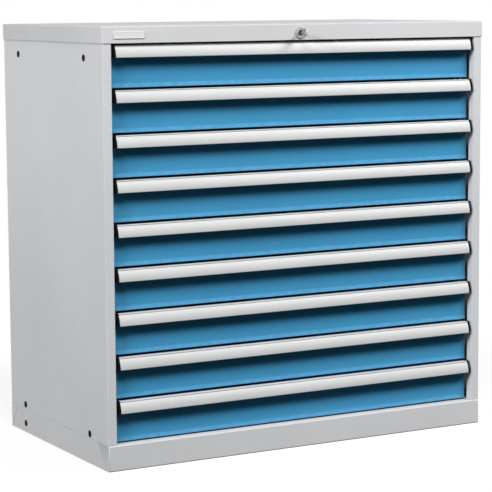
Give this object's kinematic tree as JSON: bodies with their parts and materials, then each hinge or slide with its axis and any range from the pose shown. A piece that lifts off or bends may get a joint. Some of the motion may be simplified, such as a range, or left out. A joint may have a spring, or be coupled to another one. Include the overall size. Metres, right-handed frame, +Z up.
{
  "type": "industrial drawer cabinet",
  "caption": "Free-standing sheet-steel cabinet with full-extension drawers, hooded handle strips and one central lock.",
  "frame": {"origin": "middle of the bounding box on the floor, with the key and the handles counted in", "axes": "+X to the right along the front, +Y to the back, +Z up; the drawers open towards -Y"},
  "size_m": [1.023, 0.602, 1],
  "materials": {
    "carcass_paint": "fine-textured light grey powder coat",
    "front_paint": "satin blue powder coat",
    "tray_paint": "dark grey powder coat",
    "handle_aluminium": "light satin anodised",
    "slide_steel": "zinc plated",
    "lock_chrome": "satin nickel",
    "lock_brass": "turned",
    "plate_metal": "satin, blank"
  },
  "bodies": {
    "cabinet": {"top_cover": "carcass_paint", "left_side_panel": "carcass_paint", "right_side_panel": "carcass_paint", "back_panel": "carcass_paint", "front_plinth": "carcass_paint", "rear_plinth": "carcass_paint", "left_plinth": "carcass_paint", "right_plinth": "carcass_paint", "left_rail_rack": "slide_steel", "right_rail_rack": "slide_steel", "name_plate": "plate_metal", "lock_housing": "lock_chrome"},
    "drawer_1": {"drawer_1_tray": "tray_paint", "drawer_1_front": "front_paint", "drawer_1_handle": "handle_aluminium"},
    "drawer_2": {"drawer_2_tray": "tray_paint", "drawer_2_front": "front_paint", "drawer_2_handle": "handle_aluminium"},
    "drawer_3": {"drawer_3_tray": "tray_paint", "drawer_3_front": "front_paint", "drawer_3_handle": "handle_aluminium"},
    "drawer_4": {"drawer_4_tray": "tray_paint", "drawer_4_front": "front_paint", "drawer_4_handle": "handle_aluminium"},
    "drawer_5": {"drawer_5_tray": "tray_paint", "drawer_5_front": "front_paint", "drawer_5_handle": "handle_aluminium"},
    "drawer_6": {"drawer_6_tray": "tray_paint", "drawer_6_front": "front_paint", "drawer_6_handle": "handle_aluminium"},
    "drawer_7": {"drawer_7_tray": "tray_paint", "drawer_7_front": "front_paint", "drawer_7_handle": "handle_aluminium"},
    "drawer_8": {"drawer_8_tray": "tray_paint", "drawer_8_front": "front_paint", "drawer_8_handle": "handle_aluminium"},
    "drawer_9": {"drawer_9_tray": "tray_paint", "drawer_9_front": "front_paint", "drawer_9_handle": "handle_aluminium"},
    "slides_1": {"slide_1_left_member": "slide_steel", "slide_1_right_member": "slide_steel"},
    "slides_2": {"slide_2_left_member": "slide_steel", "slide_2_right_member": "slide_steel"},
    "slides_3": {"slide_3_left_member": "slide_steel", "slide_3_right_member": "slide_steel"},
    "slides_4": {"slide_4_left_member": "slide_steel", "slide_4_right_member": "slide_steel"},
    "slides_5": {"slide_5_left_member": "slide_steel", "slide_5_right_member": "slide_steel"},
    "slides_6": {"slide_6_left_member": "slide_steel", "slide_6_right_member": "slide_steel"},
    "slides_7": {"slide_7_left_member": "slide_steel", "slide_7_right_member": "slide_steel"},
    "slides_8": {"slide_8_left_member": "slide_steel", "slide_8_right_member": "slide_steel"},
    "slides_9": {"slide_9_left_member": "slide_steel", "slide_9_right_member": "slide_steel"},
    "lock_core": {"lock_plug": "lock_brass", "key": "lock_chrome"},
    "locking_bar": {"lock_bar": "slide_steel"}
  },
  "joints": [
    {"name": "drawer_1_slide", "type": "slide", "parent": "cabinet", "child": "drawer_1", "axis": [0, -1, 0], "range_m": [0, 0.46]},
    {"name": "drawer_2_slide", "type": "slide", "parent": "cabinet", "child": "drawer_2", "axis": [0, -1, 0], "range_m": [0, 0.46]},
    {"name": "drawer_3_slide", "type": "slide", "parent": "cabinet", "child": "drawer_3", "axis": [0, -1, 0], "range_m": [0, 0.46]},
    {"name": "drawer_4_slide", "type": "slide", "parent": "cabinet", "child": "drawer_4", "axis": [0, -1, 0], "range_m": [0, 0.46]},
    {"name": "drawer_5_slide", "type": "slide", "parent": "cabinet", "child": "drawer_5", "axis": [0, -1, 0], "range_m": [0, 0.46]},
    {"name": "drawer_6_slide", "type": "slide", "parent": "cabinet", "child": "drawer_6", "axis": [0, -1, 0], "range_m": [0, 0.46]},
    {"name": "drawer_7_slide", "type": "slide", "parent": "cabinet", "child": "drawer_7", "axis": [0, -1, 0], "range_m": [0, 0.46]},
    {"name": "drawer_8_slide", "type": "slide", "parent": "cabinet", "child": "drawer_8", "axis": [0, -1, 0], "range_m": [0, 0.46]},
    {"name": "drawer_9_slide", "type": "slide", "parent": "cabinet", "child": "drawer_9", "axis": [0, -1, 0], "range_m": [0, 0.46]},
    {"name": "slides_1_follow", "type": "slide", "parent": "cabinet", "child": "slides_1", "axis": [0, -1, 0], "range_m": [0, 0.23]},
    {"name": "slides_2_follow", "type": "slide", "parent": "cabinet", "child": "slides_2", "axis": [0, -1, 0], "range_m": [0, 0.23]},
    {"name": "slides_3_follow", "type": "slide", "parent": "cabinet", "child": "slides_3", "axis": [0, -1, 0], "range_m": [0, 0.23]},
    {"name": "slides_4_follow", "type": "slide", "parent": "cabinet", "child": "slides_4", "axis": [0, -1, 0], "range_m": [0, 0.23]},
    {"name": "slides_5_follow", "type": "slide", "parent": "cabinet", "child": "slides_5", "axis": [0, -1, 0], "range_m": [0, 0.23]},
    {"name": "slides_6_follow", "type": "slide", "parent": "cabinet", "child": "slides_6", "axis": [0, -1, 0], "range_m": [0, 0.23]},
    {"name": "slides_7_follow", "type": "slide", "parent": "cabinet", "child": "slides_7", "axis": [0, -1, 0], "range_m": [0, 0.23]},
    {"name": "slides_8_follow", "type": "slide", "parent": "cabinet", "child": "slides_8", "axis": [0, -1, 0], "range_m": [0, 0.23]},
    {"name": "slides_9_follow", "type": "slide", "parent": "cabinet", "child": "slides_9", "axis": [0, -1, 0], "range_m": [0, 0.23]},
    {"name": "key_turn", "type": "hinge", "parent": "cabinet", "child": "lock_core", "pos_m": [-0.0055, -0.271, 0.979], "axis": [0, 1, 0], "range_deg": [0, 90]},
    {"name": "lock_bar_drop", "type": "slide", "parent": "cabinet", "child": "locking_bar", "axis": [0, 0, -1], "range_m": [0, 0.01]}
  ],
  "couplings": [
    {"joint": "slides_1_follow", "follows": "drawer_1_slide", "ratio": 0.5},
    {"joint": "slides_2_follow", "follows": "drawer_2_slide", "ratio": 0.5},
    {"joint": "slides_3_follow", "follows": "drawer_3_slide", "ratio": 0.5},
    {"joint": "slides_4_follow", "follows": "drawer_4_slide", "ratio": 0.5},
    {"joint": "slides_5_follow", "follows": "drawer_5_slide", "ratio": 0.5},
    {"joint": "slides_6_follow", "follows": "drawer_6_slide", "ratio": 0.5},
    {"joint": "slides_7_follow", "follows": "drawer_7_slide", "ratio": 0.5},
    {"joint": "slides_8_follow", "follows": "drawer_8_slide", "ratio": 0.5},
    {"joint": "slides_9_follow", "follows": "drawer_9_slide", "ratio": 0.5},
    {"joint": "key_turn", "follows": "lock_bar_drop", "rad_per_m": 157.08}
  ]
}
